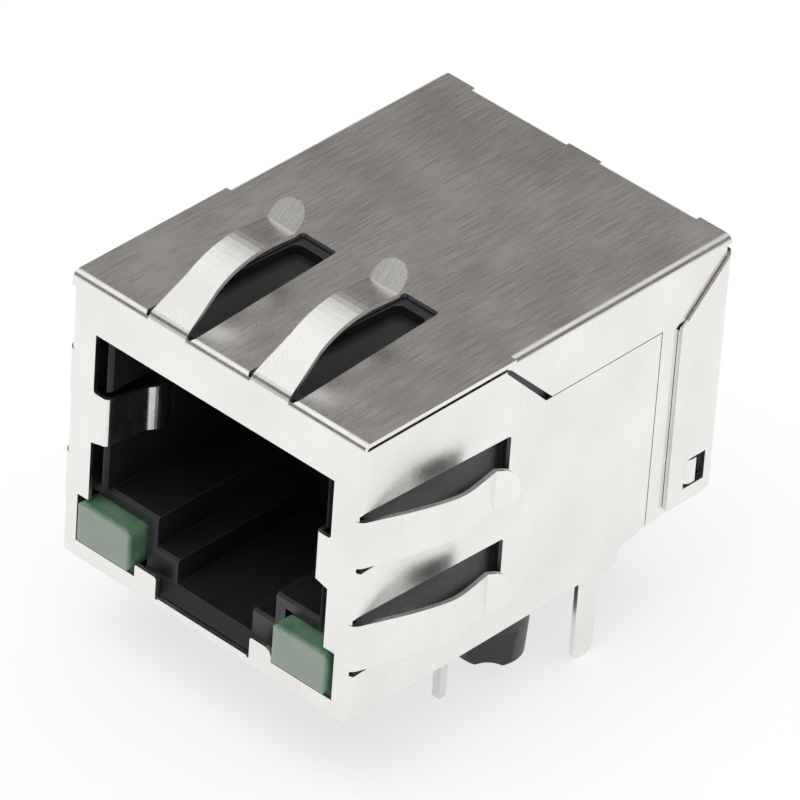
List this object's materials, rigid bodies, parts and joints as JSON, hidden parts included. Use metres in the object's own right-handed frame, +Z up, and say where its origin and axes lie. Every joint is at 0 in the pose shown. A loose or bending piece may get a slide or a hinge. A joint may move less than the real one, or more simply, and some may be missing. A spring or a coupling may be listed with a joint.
{
  "type": "rj45 board jack",
  "caption": "Shielded right-angle modular network jack for board mounting, latch side down, with two status lamps and spring fingers on its top and sides.",
  "frame": {"origin": "on the board surface, midway between the axes of the two locating pegs", "axes": "+X to the right seen from the front, +Y from the plug mouth to the rear, +Z up from the board"},
  "size_m": [0.0194, 0.0218, 0.0203],
  "materials": {
    "shield_sheet": "bright nickel plate, semi-gloss",
    "black_moulding": "satin black glass-filled plastic",
    "contact_gold": "gold plate",
    "tinned_pin": "matt tin plate",
    "lamp_green": "diffused translucent green epoxy",
    "ferrite": "matt ferrite",
    "winding_wire": "enamelled copper wire",
    "terminal_laminate": "glass-epoxy laminate",
    "chip_ceramic": "matt",
    "chip_resistor": "matt"
  },
  "bodies": {
    "root": {"shield": "shield_sheet", "housing": "black_moulding", "contact_carrier": "black_moulding", "magnetics_cup": "black_moulding", "terminal_board": "terminal_laminate", "capacitor": "chip_ceramic", "lamp_left": "lamp_green", "lamp_right": "lamp_green", "lamp_lead_1": "tinned_pin", "lamp_lead_2": "tinned_pin", "lamp_lead_3": "tinned_pin", "lamp_lead_4": "tinned_pin", "contact_1": "contact_gold", "contact_2": "contact_gold", "contact_3": "contact_gold", "contact_4": "contact_gold", "contact_5": "contact_gold", "contact_6": "contact_gold", "contact_7": "contact_gold", "contact_8": "contact_gold", "signal_pin_1": "tinned_pin", "signal_pin_2": "tinned_pin", "signal_pin_3": "tinned_pin", "signal_pin_4": "tinned_pin", "signal_pin_5": "tinned_pin", "signal_pin_6": "tinned_pin", "signal_pin_7": "tinned_pin", "signal_pin_8": "tinned_pin", "core_1": "ferrite", "core_2": "ferrite", "core_3": "ferrite", "core_4": "ferrite", "winding_1": "winding_wire", "winding_2": "winding_wire", "winding_3": "winding_wire", "winding_4": "winding_wire", "resistor_1": "chip_resistor", "resistor_2": "chip_resistor", "resistor_3": "chip_resistor", "resistor_4": "chip_resistor"}
  },
  "joints": []
}
